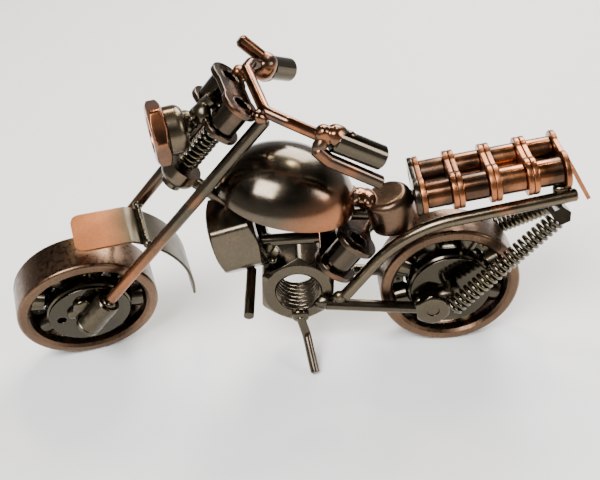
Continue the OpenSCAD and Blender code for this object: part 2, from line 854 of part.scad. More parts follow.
module headlamp_bowl() {
    depth = 6;
    round_r = 3;
    r = lamp_bowl_d / 2;
    color(dark_metal) lamp_frame() translate([0, 0, -lamp_t - depth]) rotate_extrude() union() {
        translate([0, round_r]) square([r, depth - round_r]);
        square([r - round_r, depth]);
        translate([r - round_r, round_r]) circle(r = round_r);
    }
}

module headlamp_stay() {
    start = lamp_pos + [7.4, 0, 6.6];
    end = [clamp_x - link_plate_h / 2 + 2.2, 0, clamp_z];
    color(dark_metal) fork() rod(start, end, 5);
}

module fender() {
    flat_turn = 37;
    corner_r = 3;
    steps = 24;
    function arc(r) = [for (i = [0 : steps])
        let (t = fender_from + (fender_to - fender_from) * i / steps)
        r * [cos(t), sin(t)]];
    flat_dir = [-cos(flat_turn), -sin(flat_turn)];
    flat_up = [-sin(flat_turn), cos(flat_turn)];
    root = fender_r * [cos(fender_from), sin(fender_from)];
    tip = root + fender_flat_l * flat_dir;
    outline = concat(
        [tip, tip + fender_t * flat_up],
        arc(fender_r + fender_t),
        [for (i = [steps : -1 : 0]) arc(fender_r)[i]]
    );
    color(copper) fork() intersection() {
        rotate([90, 0, 0]) linear_extrude(fender_w, center = true) polygon(outline);
        union() {
            translate([root.x - 2, -fender_w, -2 * wheel_r]) cube([6 * wheel_r, 2 * fender_w, 6 * wheel_r]);
            translate([root.x, 0, root.y]) rotate([0, -flat_turn, 0]) translate([0, 0, -5])
                linear_extrude(12) {
                    translate([-fender_flat_l + corner_r, -fender_w / 2]) square([fender_flat_l + 6, fender_w]);
                    translate([-fender_flat_l, corner_r - fender_w / 2])
                        square([fender_flat_l, fender_w - 2 * corner_r]);
                    for (s = [-1, 1])
                        translate([corner_r - fender_flat_l, s * (fender_w / 2 - corner_r)])
                            circle(r = corner_r);
                }
        }
    }
}

module fender_wire() {
    wire_d = 2;
    z = fender_r + fender_t + wire_d / 2 + 0.03;
    half = fork_leg_y - fork_leg_d / 2 + 0.2;
    color(dark_metal) fork() rod([-1.5, -half, z], [-1.5, half, z], wire_d);
}

module front_axle() {
    color(dark_metal) fork() bearing_axis() axle_bolt(hub_outer_y);
}

module front_hub_plates() {
    color(dark_metal) fork() bearing_axis() hub_plate_pair();
}

module front_hub_lugs() {
    lug_d = 8.6;
    foot_z = -3.2;
    lug_l = 14.2;
    color(dark_metal) fork() for (s = [-1, 1]) difference() {
        translate([0, s * fork_leg_y, foot_z]) cylinder(d = lug_d, h = lug_l);
        translate([0, s * fork_leg_y, -2]) cylinder(d = fork_leg_d, h = lug_l + 2);
        translate([-lug_d, s * hub_outer_y / 2 - hub_outer_y / 2, foot_z - 1])
            cube([2 * lug_d, hub_outer_y, lug_l + 2]);
    }
}

module front_inner_race() {
    color(dark_metal) fork() bearing_axis() inner_race();
}

module front_outer_race() {
    color(copper) fork() bearing_axis() outer_race();
}

module front_balls() {
    color(dark_metal) fork() bearing_axis() balls();
}

module front_cage() {
    color(dark_metal) fork() bearing_axis() cage();
}

module rear_outer_race() {
    color(copper) rear_hub() bearing_axis() outer_race();
}

module rear_balls() {
    color(dark_metal) rear_hub() bearing_axis() balls();
}

module rear_cage() {
    color(dark_metal) rear_hub() bearing_axis() cage();
}

head_cup();
down_tube();
backbone();
front_nut();
engine_nut();
upper_bar();
cylinder_plates();
cylinder_rollers();
cylinder_bushes();
tank_shell();
tank_post();
seat_cap();
seat_neck();
rail_left();
rail_right();
swing_arm_left();
swing_arm_right();
rear_axle();
rear_hub_plates();
rear_hub_lugs();
rear_inner_race();
spring_left();
spring_right();
tail_bars();
tail_block();
tail_plate();
rack_plates_1();
rack_plates_2();
rack_plates_3();
rack_plates_4();
rack_rollers();
rack_bushes();
rack_end_plate();
kickstand();
foot_peg();
fork_leg_left();
fork_leg_right();
clamp_plates();
clamp_rollers();
clamp_bushes();
steering_stem();
steering_spring();
handlebar();
grips();
levers();
headlamp_nut();
headlamp_bowl();
headlamp_stay();
fender();
fender_wire();
front_axle();
front_hub_plates();
front_hub_lugs();
front_inner_race();
front_outer_race();
front_balls();
front_cage();
rear_outer_race();
rear_balls();
rear_cage();
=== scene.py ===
import json
import math

import bmesh
import bpy
import numpy as np
from mathutils import Matrix, Vector, noise


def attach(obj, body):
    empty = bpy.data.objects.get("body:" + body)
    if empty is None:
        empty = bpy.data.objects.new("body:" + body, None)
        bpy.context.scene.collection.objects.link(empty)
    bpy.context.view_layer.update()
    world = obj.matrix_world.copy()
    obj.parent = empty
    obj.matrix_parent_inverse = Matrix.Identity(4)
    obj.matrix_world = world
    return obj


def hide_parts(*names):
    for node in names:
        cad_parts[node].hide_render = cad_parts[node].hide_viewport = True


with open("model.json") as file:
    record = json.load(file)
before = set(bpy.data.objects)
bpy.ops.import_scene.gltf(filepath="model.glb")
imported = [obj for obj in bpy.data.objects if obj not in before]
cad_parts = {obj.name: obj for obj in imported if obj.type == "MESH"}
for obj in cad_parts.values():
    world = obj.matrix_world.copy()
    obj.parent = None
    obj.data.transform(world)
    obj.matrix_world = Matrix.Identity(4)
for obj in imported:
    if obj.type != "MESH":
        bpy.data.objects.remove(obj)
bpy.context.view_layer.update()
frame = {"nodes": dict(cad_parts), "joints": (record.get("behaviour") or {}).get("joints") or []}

MM = 0.001
NODES = frame["nodes"]
JOINTS = {j["name"]: j for j in frame["joints"]}

# ---- sizes in millimetres, the same as the CAD's ----
RACE_OD, RACE_W, RACE_BORE, RACE_EDGE = 47.0, 14.0, 20.0, 1.3
BALL_D, BALL_PITCH_R, BALL_COUNT, SHOULDER = 7.94, 16.75, 8, 2.75
HUB_D, HUB_T, AXLE_D = 27.0, 1.0, 6.0
FORK_L, FORK_D, FORK_Y, FORK_OFFSET = 96.0, 4.0, 11.0, 3.0
LINK = dict(pitch=12.7, roller=8.51, inner=7.85, height=11.8, plate=1.7, bush=6.0, bore=4.5)
BIG_LINK = dict(pitch=15.88, roller=10.16, inner=9.53, height=14.7, plate=2.0, bush=7.1, bore=5.1)
RACK_SLOPE, RACK_GAP, RACK_LINKS = 8.4, 0.06, 4
NUT_AF, NUT_T, THREAD_D, THREAD_MINOR_D, THREAD_PITCH = 24.0, 14.8, 16.0, 13.84, 2.0
LAMP_AF, LAMP_T, LAMP_BOWL_D, LAMP_BOWL_L = 17.5, 4.6, 14.5, 6.0
TANK_L, TANK_W, TANK_H, TANK_T, TANK_PITCH = 44.6, 38.0, 17.1, 1.2, 15.3
SEAT_D, SEAT_H, SEAT_LEAN = 15.6, 12.0, 17.0
BAR_D, RAIL_Y, RAIL_BEND_R, RAIL_GAP = 4.0, 10.0, 40.0, 6.7
SPRING_D, SPRING_WIRE, SPRING_TURNS = 6.4, 1.4, 23
STEM_SPRING_D, STEM_WIRE, STEM_TURNS = 6.6, 1.1, 10
HANDLE_D, GRIP_D, LEVER_D, STAND_D = 3.5, 7.6, 4.2, 3.1
FENDER_R, FENDER_T, FENDER_W, FENDER_FLAT = 35.6, 0.9, 16.0, 17.5
FENDER_FROM, FENDER_TO, FENDER_FLAT_TURN = 98.5, 35.5, 37.0
WHEEL_R = RACE_OD / 2
WHEELBASE_HALF = 62.0


# ---- frames: each turns local millimetres into the row frame ----
def vec(*v):
    return Vector(v)


def from_axes(x, y, z, at):
    m = Matrix((x, y, z)).transposed().to_4x4()
    m.translation = at
    return m


FRONT_AXLE = Vector(JOINTS["front_wheel_spin"]["pos_m"])
REAR_AXLE = Vector(JOINTS["rear_wheel_spin"]["pos_m"])
STEER_DIR = Vector(JOINTS["steering"]["axis"]).normalized()
FRONT_DIR = Vector(JOINTS["front_wheel_spin"]["axis"]).normalized()
FORK = from_axes(FRONT_DIR.cross(STEER_DIR), FRONT_DIR, STEER_DIR, FRONT_AXLE)
REAR = Matrix.Translation(REAR_AXLE)
BIKE = Matrix.Translation(REAR_AXLE - vec(WHEELBASE_HALF, 0, WHEEL_R) * MM)
TO_AXLE = Matrix.Rotation(math.radians(-90), 4, "X")


def shift(x, y, z):
    return Matrix.Translation(vec(x, y, z) * MM)


def turn(degrees, axis):
    return Matrix.Rotation(math.radians(degrees), 4, axis)


def along(at, direction):
    """Local +Z to a direction, local +Y level, at a point in millimetres."""
    d = Vector(direction).normalized()
    level = vec(0, 1, 0) if abs(d.z) > 0.999 else vec(0, 0, 1).cross(d).normalized()
    return from_axes(level.cross(d), level, d, Vector(at) * MM)


# ---- places in millimetres: the first six in the bike's frame, the lamp in the fork's ----
ENGINE_AT = vec(10.8, 0, WHEEL_R + 2.9)
FRONT_NUT_AT = vec(-7, 0, WHEEL_R + 24)
CYLINDER_AT = vec(26.9, 0, WHEEL_R + 19)
TANK_AT = vec(9.06, 0, WHEEL_R + 36.9)
RACK_AT = vec(WHEELBASE_HALF - 5.7, 0, 2 * WHEEL_R + 14.9)
RAIL_ROOT = vec(26.2, 0, WHEEL_R + 2.4)
LAMP_AT = vec(-19.5, 0, 70.2)


# ---- shapes: (points in millimetres, faces) ----
def joined(shapes):
    points, faces = [], []
    for p, f in shapes:
        faces += [[i + len(points) for i in face] for face in f]
        points += list(p)
    return points, faces


def moved(shape, m):
    p, f = shape
    return [(m @ (Vector(q) * MM)) / MM for q in p], f


def rounded(outline, r, steps=4, closed=True):
    """A 2D outline with each corner rounded to r, or to as much as its sides allow."""
    out, n = [], len(outline)
    for i in range(n):
        b = Vector(outline[i])
        if not closed and i in (0, n - 1):
            out.append(tuple(b))
            continue
        a, c = Vector(outline[i - 1]), Vector(outline[(i + 1) % n])
        u, v = (a - b), (c - b)
        half = u.angle(v) / 2
        cut = min(r / math.tan(half), 0.49 * u.length, 0.49 * v.length)
        middle = b + (u.normalized() + v.normalized()).normalized() * (cut / math.cos(half))
        p, q = b + u.normalized() * cut - middle, b + v.normalized() * cut - middle
        sweep_angle = p.angle_signed(q) if p.length > 1e-9 and q.length > 1e-9 else 0.0
        for k in range(steps + 1):
            t = -sweep_angle * k / steps
            out.append((middle.x + p.x * math.cos(t) - p.y * math.sin(t),
                        middle.y + p.x * math.sin(t) + p.y * math.cos(t)))
    return out


def grid_faces(rows, columns, wrap_rows=False, wrap_columns=True):
    faces = []
    for i in range(rows if wrap_rows else rows - 1):
        for k in range(columns if wrap_columns else columns - 1):
            j, m = (i + 1) % rows, (k + 1) % columns
            faces.append([i * columns + k, i * columns + m, j * columns + m, j * columns + k])
    return faces


def lathe(profile, steps=96, closed=True):
    """(radius, height) points turned round Z."""
    points = []
    for i in range(steps):
        a = 2 * math.pi * i / steps
        points += [(r * math.cos(a), r * math.sin(a), z) for r, z in profile]
    faces = grid_faces(steps, len(profile), wrap_rows=True, wrap_columns=closed)
    return points, faces


def washer(r_in, r_out, z0, z1, edge=0.3, steps=96):
    return lathe(rounded([(r_in, z0), (r_out, z0), (r_out, z1), (r_in, z1)], edge), steps)


def sweep(path, radius, sides=24, edge=0.35, wobble=0.0, seed=0.0):
    """A round bar along a path, with softened ends."""
    p = [Vector(path[0])]
    for q in path[1:]:
        parts = max(1, round((Vector(q) - p[-1]).length / 1.5)) if wobble else 1
        start = p[-1]
        p += [start.lerp(Vector(q), (i + 1) / parts) for i in range(parts)]
    first, last = (p[1] - p[0]).normalized(), (p[-1] - p[-2]).normalized()
    p = [p[0], p[0] + first * edge] + p[1:-1] + [p[-1] - last * edge, p[-1]]
    radii = [radius - edge] + [radius] * (len(p) - 2) + [radius - edge]
    t = [(p[min(i + 1, len(p) - 1)] - p[max(i - 1, 0)]).normalized() for i in range(len(p))]
    e = t[0].orthogonal().normalized()
    points = []
    for i, q in enumerate(p):
        e = (e - t[i] * e.dot(t[i])).normalized()
        f = t[i].cross(e)
        for k in range(sides):
            a = 2 * math.pi * k / sides
            out = e * math.cos(a) + f * math.sin(a)
            r = radii[i] * (1 + wobble * noise.noise(q * 0.35 + out + vec(seed, 0, 0)))
            points.append(q + out * r)
    n = len(p)
    caps = [list(range(sides - 1, -1, -1)), [(n - 1) * sides + k for k in range(sides)]]
    faces = grid_faces(n, sides) + caps
    return points, faces


def straight(a, b, step=2.0):
    a, b = Vector(a), Vector(b)
    n = max(2, int((b - a).length / step))
    return [a.lerp(b, i / n) for i in range(n + 1)]


def bent(points, r):
    """A centre line through the points, bent to radius r at each inner one."""
    p = [Vector(q) for q in points]
    out = [p[0]]
    for i in range(1, len(p) - 1):
        u, v = (p[i] - p[i - 1]).normalized(), (p[i + 1] - p[i]).normalized()
        inwards = (v - u * u.dot(v)).normalized()
        total = u.angle(v)
        start = p[i] - u * r * math.tan(total / 2)
        steps = max(4, int(math.degrees(total) / 3))
        angles = [total * k / steps for k in range(steps + 1)]
        out += [start + r * (math.sin(a) * u + (1 - math.cos(a)) * inwards) for a in angles]
    return out + [p[-1]]


def coil(outer_d, wire_d, length, turns, steps=28, sides=12):
    r, rise = (outer_d - wire_d) / 2, (length - wire_d) / turns
    path = [(r * math.cos(2 * math.pi * i / steps), r * math.sin(2 * math.pi * i / steps),
             wire_d / 2 + rise * i / steps) for i in range(int(turns * steps) + 1)]
    return sweep(path, wire_d / 2, sides, edge=0.12)


def plate(outlines, thickness, edge=0.3):
    """A flat sheet round z = 0 with rounded edges; the first outline is its outside."""
    curve = bpy.data.curves.new("plate", "CURVE")
    curve.dimensions, curve.fill_mode = "2D", "BOTH"
    curve.extrude, curve.bevel_depth = (thickness / 2 - edge) * MM, edge * MM
    curve.bevel_resolution, curve.offset = 2, -edge * MM
    for outline in outlines:
        spline = curve.splines.new("POLY")
        spline.points.add(len(outline) - 1)
        for point, (x, y) in zip(spline.points, outline):
            point.co = (x * MM, y * MM, 0, 1)
        spline.use_cyclic_u = True
    holder = bpy.data.objects.new("plate", curve)
    bpy.context.scene.collection.objects.link(holder)
    mesh = bpy.data.meshes.new_from_object(holder.evaluated_get(bpy.context.evaluated_depsgraph_get()))
    shape = [v.co / MM for v in mesh.vertices], [list(f.vertices) for f in mesh.polygons]
    bpy.data.objects.remove(holder)
    return shape


def ring(r, centre=(0, 0), steps=48, inner=False):
    s = -1 if inner else 1
    angles = [s * 2 * math.pi * k / steps for k in range(steps)]
    return [(centre[0] + r * math.cos(a), centre[1] + r * math.sin(a)) for a in angles]


def nut(af, t, bore_r, thread_r=None):
    """A hex nut round Z with turned faces; with thread_r its bore carries a helical thread."""
    steps, face_r = 144, af * 0.475
    corner_r = af / math.sqrt(3)
    soft = 0.35
    depth = int(t / THREAD_PITCH * 12) if thread_r else 4
    points = []
    for i in range(steps):
        a = 2 * math.pi * i / steps
        off = (a + math.pi / 6) % (math.pi / 3) - math.pi / 6
        flat = af / 2 / math.cos(off)
        flat = min(flat, corner_r - soft * max(0.0, 1 - (math.pi / 6 - abs(off)) / 0.05))
        drop = max(0.0, flat - face_r) * math.tan(math.radians(30))
        mouth = (thread_r or bore_r) + 0.15
        outside = [(mouth, t / 2), (mouth + 0.3, t / 2), (face_r - 0.25, t / 2),
                   (face_r, t / 2 - 0.08), (flat - 0.15, t / 2 - drop - 0.02), (flat, t / 2 - drop - 0.22)]
        profile = outside + [(r, -z) for r, z in reversed(outside)]
        inside = []
        for k in range(depth + 1):
            z = -t / 2 + 0.25 + (t - 0.5) * k / depth
            if thread_r:
                wave = abs(((z / THREAD_PITCH - i / steps) % 1.0) * 2 - 1)
                fade = min(1.0, (t / 2 - abs(z)) / 1.1)
                r = thread_r - (thread_r - bore_r) * fade * min(1.0, 1.25 * wave)
            else:
                r = bore_r
            inside.append((r, z))
        points += [(r * math.cos(a), r * math.sin(a), z) for r, z in profile + inside]
    columns = len(profile) + depth + 1
    return points, grid_faces(steps, columns, wrap_rows=True)


def molten(shapes, grid=0.26, passes=10):
    """Overlapping closed shapes run together into one smooth skin."""
    points, faces = joined(shapes)
    mesh = bpy.data.meshes.new("molten")
    mesh.from_pydata([Vector(p) * MM for p in points], [], faces)
    holder = bpy.data.objects.new("molten", mesh)
    bpy.context.scene.collection.objects.link(holder)
    remesh = holder.modifiers.new("remesh", "REMESH")
    remesh.mode, remesh.voxel_size = "VOXEL", grid * MM
    smooth = holder.modifiers.new("smooth", "SMOOTH")
    smooth.factor, smooth.iterations = 0.5, passes
    done = bpy.data.meshes.new_from_object(holder.evaluated_get(bpy.context.evaluated_depsgraph_get()))
    shape = [v.co / MM for v in done.vertices], [list(f.vertices) for f in done.polygons]
    bpy.data.objects.remove(holder)
    return shape


def blob(centre, size, seed, rough=0.14, detail=3, grain=0.7):
    """A weld bead: a lumpy closed form about centre, size being its three half widths."""
    bm = bmesh.new()
    bmesh.ops.create_icosphere(bm, subdivisions=detail, radius=1.0)
    offset = vec(seed * 3.7, seed * 1.3, seed * 7.1)
    points = []
    for v in bm.verts:
        lump = noise.noise(v.co * grain + offset) + 0.5 * noise.noise(v.co * grain * 2.3 + offset)
        points.append(Vector(centre) + Vector([c * s for c, s in zip(v.co * (1 + rough * lump), size)]))
    faces = [[v.index for v in f.verts] for f in bm.faces]
    bm.free()
    return points, faces


# ---- materials ----
def shader(name):
    material = bpy.data.materials.new(name)
    material.use_nodes = True
    tree = material.node_tree
    return material, tree, tree.nodes["Principled BSDF"]


def linked(tree, kind, inputs=None, **settings):
    node = tree.nodes.new(kind)
    for key, value in settings.items():
        setattr(node, key, value)
    for key, value in (inputs or {}).items():
        if isinstance(value, bpy.types.NodeSocket):
            tree.links.new(value, node.inputs[key])
        else:
            node.inputs[key].default_value = value
    return node


def ramp(tree, factor, stops):
    node = linked(tree, "ShaderNodeValToRGB", {"Fac": factor})
    elements = node.color_ramp.elements
    while len(elements) < len(stops):
        elements.new(0.5)
    for element, (at, value) in zip(elements, stops):
        element.position = at
        element.color = (*value, 1.0) if isinstance(value, tuple) else (value, value, value, 1.0)
    return node.outputs["Color"]


def stretched(tree, scale, detail=3.0, size=(1, 1, 1), turned=(0, 0, 0)):
    """Noise over the object's own coordinates, scaled by size along its axes."""
    where = linked(tree, "ShaderNodeTexCoord").outputs["Object"]
    mapped = linked(tree, "ShaderNodeMapping", {"Vector": where, "Scale": size, "Rotation": turned})
    inputs = {"Vector": mapped.outputs["Vector"], "Scale": scale, "Detail": detail}
    out = linked(tree, "ShaderNodeTexNoise", inputs)
    return out.outputs["Fac"]


def position_along(tree, start, end):
    """0 at start and 1 at end, two points in the row frame."""
    start, end = Vector(start), Vector(end)
    run = (end - start) / (end - start).length_squared
    where = linked(tree, "ShaderNodeTexCoord").outputs["Object"]
    moved_by = linked(tree, "ShaderNodeVectorMath", {0: where, 1: start}, operation="SUBTRACT")
    dot = linked(tree, "ShaderNodeVectorMath", {0: moved_by.outputs["Vector"], 1: run},
                 operation="DOT_PRODUCT")
    return dot.outputs["Value"]


def mixed(tree, factor, a, b, blend="MIX"):
    """A colour mix; factor, a and b are sockets or values."""
    node = tree.nodes.new("ShaderNodeMix")
    node.data_type, node.blend_type = "RGBA", blend
    for socket, value in ((node.inputs[0], factor), (node.inputs[6], a), (node.inputs[7], b)):
        if isinstance(value, bpy.types.NodeSocket):
            tree.links.new(value, socket)
        else:
            socket.default_value = (*value, 1.0) if isinstance(value, tuple) else value
    return node.outputs[2]


def plated(name, dark, copper, patches, rough=(0.12, 0.3), band=None, brushed=None, bump=0.06,
           patch_scale=55):
    """Copper plate worn and darkened in patches. band is (start, end, stops) and adds copper along
    a line; brushed is (scale, size, turned) of the fine lines of a brushed finish."""
    material, tree, out = shader(name)
    share = ramp(tree, stretched(tree, patch_scale, 5.0), [(patches[0], 0.0), (patches[1], 1.0)])
    if band:
        start, end, stops = band
        along_it = ramp(tree, position_along(tree, start, end), stops)
        share = mixed(tree, 1.0, along_it, share, "ADD")
    fine = stretched(tree, 1400, 4.0)
    tone = mixed(tree, share, dark, copper)
    colour = mixed(tree, 1.0, tone, ramp(tree, fine, [(0.3, 0.8), (0.7, 1.0)]), "MULTIPLY")
    tree.links.new(colour, out.inputs["Base Color"])
    if brushed:
        smooth = stretched(tree, brushed[0], 3.0, brushed[1], brushed[2])
    else:
        smooth = stretched(tree, 130, 4.0)
    tree.links.new(ramp(tree, smooth, [(0.32, rough[0]), (0.68, rough[1])]), out.inputs["Roughness"])
    relief = linked(tree, "ShaderNodeBump", {"Height": smooth if brushed else fine, "Distance": 0.0001})
    relief.inputs["Strength"].default_value = bump
    tree.links.new(relief.outputs["Normal"], out.inputs["Normal"])
    out.inputs["Metallic"].default_value = 1.0
    return material


DARK, OLIVE, BROWN = (0.085, 0.07, 0.05), (0.14, 0.115, 0.07), (0.17, 0.095, 0.058)
COPPER, BRIGHT_COPPER, GOLD = (0.36, 0.13, 0.055), (0.46, 0.17, 0.07), (0.36, 0.27, 0.13)
TREAD_LINES = (900, (1, 1, 0.02), (math.radians(90), 0, 0))


def leg_band(y):
    """Where a fork leg shows its copper: around the middle of its lower half."""
    low, high = FORK @ (vec(0, y, 0) * MM), FORK @ (vec(0, y, FORK_L) * MM)
    return low, high, [(0.0, 0.55), (0.08, 0.25), (0.25, 0.75), (0.42, 0.25), (0.55, 0.0), (0.95, 0.0)]


M = {
    "tread": plated("tread", (0.1, 0.062, 0.04), (0.17, 0.1, 0.06), (0.35, 0.7), (0.24, 0.4),
                    brushed=TREAD_LINES, bump=0.05),
    "ball": plated("ball", (0.15, 0.13, 0.095), OLIVE, (0.4, 0.7), (0.04, 0.1), bump=0.01),
    "cage": plated("cage", (0.07, 0.06, 0.045), OLIVE, (0.45, 0.75), (0.12, 0.25)),
    "hub": plated("hub", (0.06, 0.052, 0.038), OLIVE, (0.6, 0.85), (0.06, 0.16), bump=0.02),
    "nut": plated("nut", (0.1, 0.082, 0.058), BROWN, (0.55, 0.85), (0.16, 0.32)),
    "tank": plated("tank", (0.1, 0.08, 0.058), COPPER, (0.72, 0.95), (0.12, 0.24), bump=0.03,
                   band=(BIKE @ (vec(9, 10, 66) * MM), BIKE @ (vec(30, -16, 52) * MM),
                         [(0.0, 0.0), (0.55, 0.0), (0.82, 0.9), (1.0, 0.5)])),
    "bar": plated("bar", DARK, COPPER, (0.62, 0.88), (0.14, 0.3)),
    "rail": plated("rail", (0.125, 0.098, 0.065), COPPER, (0.56, 0.85), (0.16, 0.3)),
    "spring": plated("spring", (0.1, 0.088, 0.064), OLIVE, (0.4, 0.7), (0.12, 0.24)),
    "rack": plated("rack", (0.13, 0.056, 0.03), BRIGHT_COPPER, (0.38, 0.7), (0.2, 0.36)),
    "roller": plated("roller", (0.075, 0.042, 0.026), BRIGHT_COPPER, (0.44, 0.74), (0.14, 0.3),
                     patch_scale=75),
    "rack_dark": plated("rack_dark", (0.07, 0.055, 0.04), BROWN, (0.6, 0.85), (0.1, 0.22)),
    "link": plated("link", (0.085, 0.062, 0.044), COPPER, (0.56, 0.82), (0.12, 0.26)),
    "seat": plated("seat", (0.13, 0.08, 0.052), COPPER, (0.5, 0.8), (0.22, 0.38)),
    "leg_left": plated("leg_left", DARK, COPPER, (0.62, 0.9), (0.16, 0.3), band=leg_band(-FORK_Y)),
    "leg_right": plated("leg_right", DARK, COPPER, (0.62, 0.9), (0.16, 0.3), band=leg_band(FORK_Y)),
    "handle": plated("handle", (0.09, 0.062, 0.045), COPPER, (0.46, 0.72), (0.14, 0.28)),
    "grip": plated("grip", DARK, COPPER, (0.7, 0.9), (0.1, 0.2)),
    "lamp": plated("lamp", (0.11, 0.072, 0.05), COPPER, (0.4, 0.68), (0.16, 0.3)),
    "fender": plated("fender", (0.085, 0.07, 0.048), (0.33, 0.12, 0.05), (0.78, 0.97), (0.3, 0.46),
                     band=(FORK @ (vec(-24, 0, 20) * MM), FORK @ (vec(10, 0, 40) * MM),
                           [(0.0, 1.0), (0.4, 0.85), (0.6, 0.0), (1.0, 0.0)])),
    "weld": plated("weld", (0.085, 0.07, 0.048), GOLD, (0.6, 0.85), (0.12, 0.36), bump=0.2,
                   patch_scale=260),
    "weld_copper": plated("weld_copper", (0.11, 0.074, 0.05), COPPER, (0.42, 0.75), (0.14, 0.34),
                          bump=0.1, patch_scale=120),
}


# ---- pieces ----
def piece(name, shape, place, body, slot, material, replaces=(), sharp=32):
    """A finished object: its shape put in place, on its body, in the CAD nodes' stead. The slot argument is not
    used.
    """
    points, faces = shape
    mesh = bpy.data.meshes.new(name)
    mesh.from_pydata([place @ (Vector(p) * MM) for p in points], [], faces)
    bm = bmesh.new()
    bm.from_mesh(mesh)
    bmesh.ops.remove_doubles(bm, verts=bm.verts, dist=1e-6)
    bmesh.ops.recalc_face_normals(bm, faces=bm.faces)
    bm.to_mesh(mesh)
    bm.free()
    mesh.polygons.foreach_set("use_smooth", [True] * len(mesh.polygons))
    mesh.set_sharp_from_angle(angle=math.radians(sharp))
    mesh.materials.append(M[material])
    obj = bpy.data.objects.new(name, mesh)
    bpy.context.scene.collection.objects.link(obj)
    normals = obj.modifiers.new("normals", "WEIGHTED_NORMAL")
    normals.keep_sharp = True
    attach(obj, body)
    if replaces:
        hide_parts(*replaces)
    return obj


def outer_race():
    e, w, shoulder, groove = RACE_EDGE, RACE_W / 2, BALL_PITCH_R + SHOULDER, BALL_D / 2 + 0.05
    deep = math.sqrt(groove ** 2 - SHOULDER ** 2)
    arc = [(BALL_PITCH_R + groove * math.cos(t), groove * math.sin(t))
           for t in np.linspace(-math.asin(deep / groove), math.asin(deep / groove), 9)]
    body = [(shoulder, -w), (WHEEL_R, -w), (WHEEL_R, w), (shoulder, w)]
    outside = rounded(body, e, 5)
    inner_edge = [(shoulder + 0.9, -w), (shoulder, -w + 0.9)]
    outside = [q for q in outside if q[0] > shoulder + 1.2]
    profile = outside + [(shoulder + 0.9, w), (shoulder, w - 0.9)] + arc[::-1] + inner_edge[::-1]
    return lathe(profile, 160)


def inner_race():
    w, shoulder, groove = RACE_W / 2, BALL_PITCH_R - SHOULDER, BALL_D / 2 + 0.05
    deep = math.asin(math.sqrt(groove ** 2 - SHOULDER ** 2) / groove)
    arc = [(BALL_PITCH_R - groove * math.cos(t), groove * math.sin(t))
           for t in np.linspace(-deep, deep, 9)]
    bore = RACE_BORE / 2
    profile = [(bore, -w + 0.6), (bore + 0.6, -w), (shoulder - 0.5, -w), (shoulder, -w + 0.5)] + arc
    profile += [(shoulder, w - 0.5), (shoulder - 0.5, w), (bore + 0.6, w), (bore, w - 0.6)]
    return lathe(profile, 120)


def ball(angle):
    bm = bmesh.new()
    bmesh.ops.create_icosphere(bm, subdivisions=4, radius=BALL_D / 2)
    at = vec(BALL_PITCH_R * math.cos(angle), BALL_PITCH_R * math.sin(angle), 0)
    shape = [v.co + at for v in bm.verts], [[v.index for v in f.verts] for f in bm.faces]
    bm.free()
    return shape


def ball_angles():
    return [2 * math.pi * (i + 0.5) / BALL_COUNT for i in range(BALL_COUNT)]


def cage_ribbon():
    """Two pressed ribbons, flat between the balls and arched over each of them."""
    half_w, skin, clear, steps = 1.9, 0.3, BALL_D / 2 + 0.12, 240
    strips = []
    for s in (-1, 1):
        points = []
        for i in range(steps):
            a = 2 * math.pi * i / steps
            nearest = min(abs((a - b + math.pi) % (2 * math.pi) - math.pi) for b in ball_angles())
            off = nearest * BALL_PITCH_R
            lift = math.sqrt(max(0.0, clear ** 2 - off ** 2))
            lift = max(lift, 0.05)
            over = lift + skin
            for side, z in ((-half_w, lift), (half_w, lift), (half_w, over), (-half_w, over)):
                r = BALL_PITCH_R + side
                points.append((r * math.cos(a), r * math.sin(a), s * z))
        strips.append((points, grid_faces(steps, 4, wrap_rows=True)))
    rivets = []
    half_l, rivet_r = 0.75, 0.6
    outline = [(0, -half_l), (rivet_r, -half_l), (rivet_r, half_l), (0, half_l)]
    rivet = lathe(rounded(outline, 0.25, closed=False), 20, closed=False)
    for i in range(BALL_COUNT):
        a = 2 * math.pi * i / BALL_COUNT
        rivets.append(moved(rivet, shift(BALL_PITCH_R * math.cos(a), BALL_PITCH_R * math.sin(a), 0)))
    return joined(strips + rivets)


def hub_plates():
    hole_r, hole_turn, away = 1.5, math.radians(140), HUB_D / 2 - 4
    hole = away * math.cos(hole_turn), away * math.sin(hole_turn)
    outlines = [ring(HUB_D / 2, steps=96), ring(AXLE_D / 2 + 0.02, inner=True),
                ring(hole_r, hole, 32, inner=True)]
    sheet = plate(outlines, HUB_T, 0.25)
    return joined([moved(sheet, shift(0, 0, s * (RACE_W + HUB_T) / 2)) for s in (-1, 1)])


def wheel(end, hub_frame, fixed, spun, balls):
    place = hub_frame @ TO_AXLE
    piece(end + "_tread_ring", outer_race(), place, spun, "tread", "tread", [end + "_outer_race"])
    ball_set = joined([ball(a) for a in ball_angles()])
    piece(end + "_ball_set", ball_set, place, balls, "ball_steel", "ball", [end + "_balls"])
    piece(end + "_ribbon_cage", cage_ribbon(), place, balls, "cage_steel", "cage", [end + "_cage"])
    piece(end + "_fixed_ring", inner_race(), place, fixed, "cage_steel", "cage", [end + "_inner_race"])
    piece(end + "_cover_plates", hub_plates(), place, fixed, "hub_plate", "hub", [end + "_hub_plates"])


def link_outline(link):
    """The figure-eight outline of a chain plate, its pitch along X."""
    r, half, waist = link["height"] / 2, link["pitch"] / 2, link["height"] * 0.37
    trim = 2  # points left off each end of an arc, which softens the corners of the waist
    reach = math.degrees(math.asin(waist / r))
    ends = [[(s * (half + r * math.cos(math.radians(a))), s * r * math.sin(math.radians(a)))
             for a in np.linspace(reach - 180, 180 - reach, 49)] for s in (1, -1)]
    return ends[0][trim:-trim] + ends[1][trim:-trim]


def link_sheet(link, hole_d):
    half = link["pitch"] / 2
    holes = [ring(hole_d / 2, (s * half, 0), 40, inner=True) for s in (-1, 1)]
    return plate([link_outline(link)] + holes, link["plate"], 0.35)


